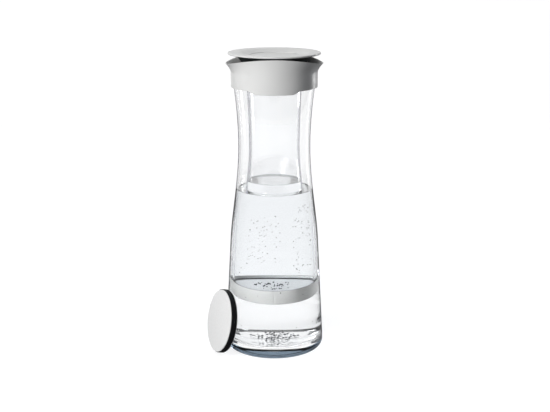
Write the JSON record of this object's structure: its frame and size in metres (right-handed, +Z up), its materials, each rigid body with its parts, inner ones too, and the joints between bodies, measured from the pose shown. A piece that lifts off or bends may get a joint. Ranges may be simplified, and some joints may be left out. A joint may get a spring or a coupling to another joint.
{
  "type": "water filter carafe",
  "caption": "Clear water carafe with a hanging filter funnel, push-on disc holder, grey pouring collar, hinged flip lid and a spare filter disc leaning beside it",
  "frame": {"origin": "centre of the carafe's foot, on the table", "axes": "+Z up along the carafe's axis, -Y towards the front with the skirt's tongue, +X to the viewer's right, hinge at +Y"},
  "size_m": [0.1186, 0.1041, 0.3],
  "materials": {
    "carafe_glass": "gloss",
    "clear_plastic": "gloss",
    "shell_plastic": "satin",
    "holder_plastic": "satin",
    "dark_plastic": "satin",
    "dark_seal": "matte",
    "soft_seal": "matte",
    "carbon": "matte",
    "fleece": "matte",
    "pin_steel": "satin"
  },
  "bodies": {
    "carafe": {"carafe_body": "carafe_glass"},
    "collar": {"lid_collar": "shell_plastic", "pour_deck": "dark_plastic", "neck_gasket": "soft_seal", "funnel_seal": "soft_seal", "hinge_pin": "pin_steel"},
    "flip_lid": {"lid_top_plate": "shell_plastic", "lid_centre_plate": "shell_plastic", "lid_underside": "dark_plastic", "lid_plug": "dark_plastic", "plug_seal": "dark_seal"},
    "funnel": {"funnel_tube": "clear_plastic"},
    "filter_disc": {"disc_carbon_core": "carbon", "disc_top_fleece": "fleece", "disc_bottom_fleece": "fleece", "disc_gasket": "soft_seal"},
    "disc_holder": {"holder_ring": "holder_plastic", "holder_grid": "holder_plastic"},
    "spare_disc": {"spare_carbon_core": "carbon", "spare_front_fleece": "fleece", "spare_back_fleece": "fleece"}
  },
  "joints": [
    {"name": "insert_lift", "type": "slide", "parent": "carafe", "child": "collar", "axis": [0, 0, 1], "range_m": [0, 0.26]},
    {"name": "lid_flip", "type": "hinge", "parent": "collar", "child": "flip_lid", "pos_m": [0, 0.0486, 0.2954], "axis": [-1, 0, 0], "range_deg": [0, 105]},
    {"name": "funnel_pull", "type": "slide", "parent": "collar", "child": "funnel", "axis": [0, 0, -1], "range_m": [0, 0.02]},
    {"name": "disc_drop", "type": "slide", "parent": "funnel", "child": "filter_disc", "axis": [0, 0, -1], "range_m": [0, 0.008]},
    {"name": "holder_pull", "type": "slide", "parent": "filter_disc", "child": "disc_holder", "axis": [0, 0, -1], "range_m": [0, 0.012]},
    {"name": "spare_away", "type": "slide", "parent": "carafe", "child": "spare_disc", "axis": [-0.9239, -0.3827, 0], "range_m": [0, 0.06]}
  ]
}
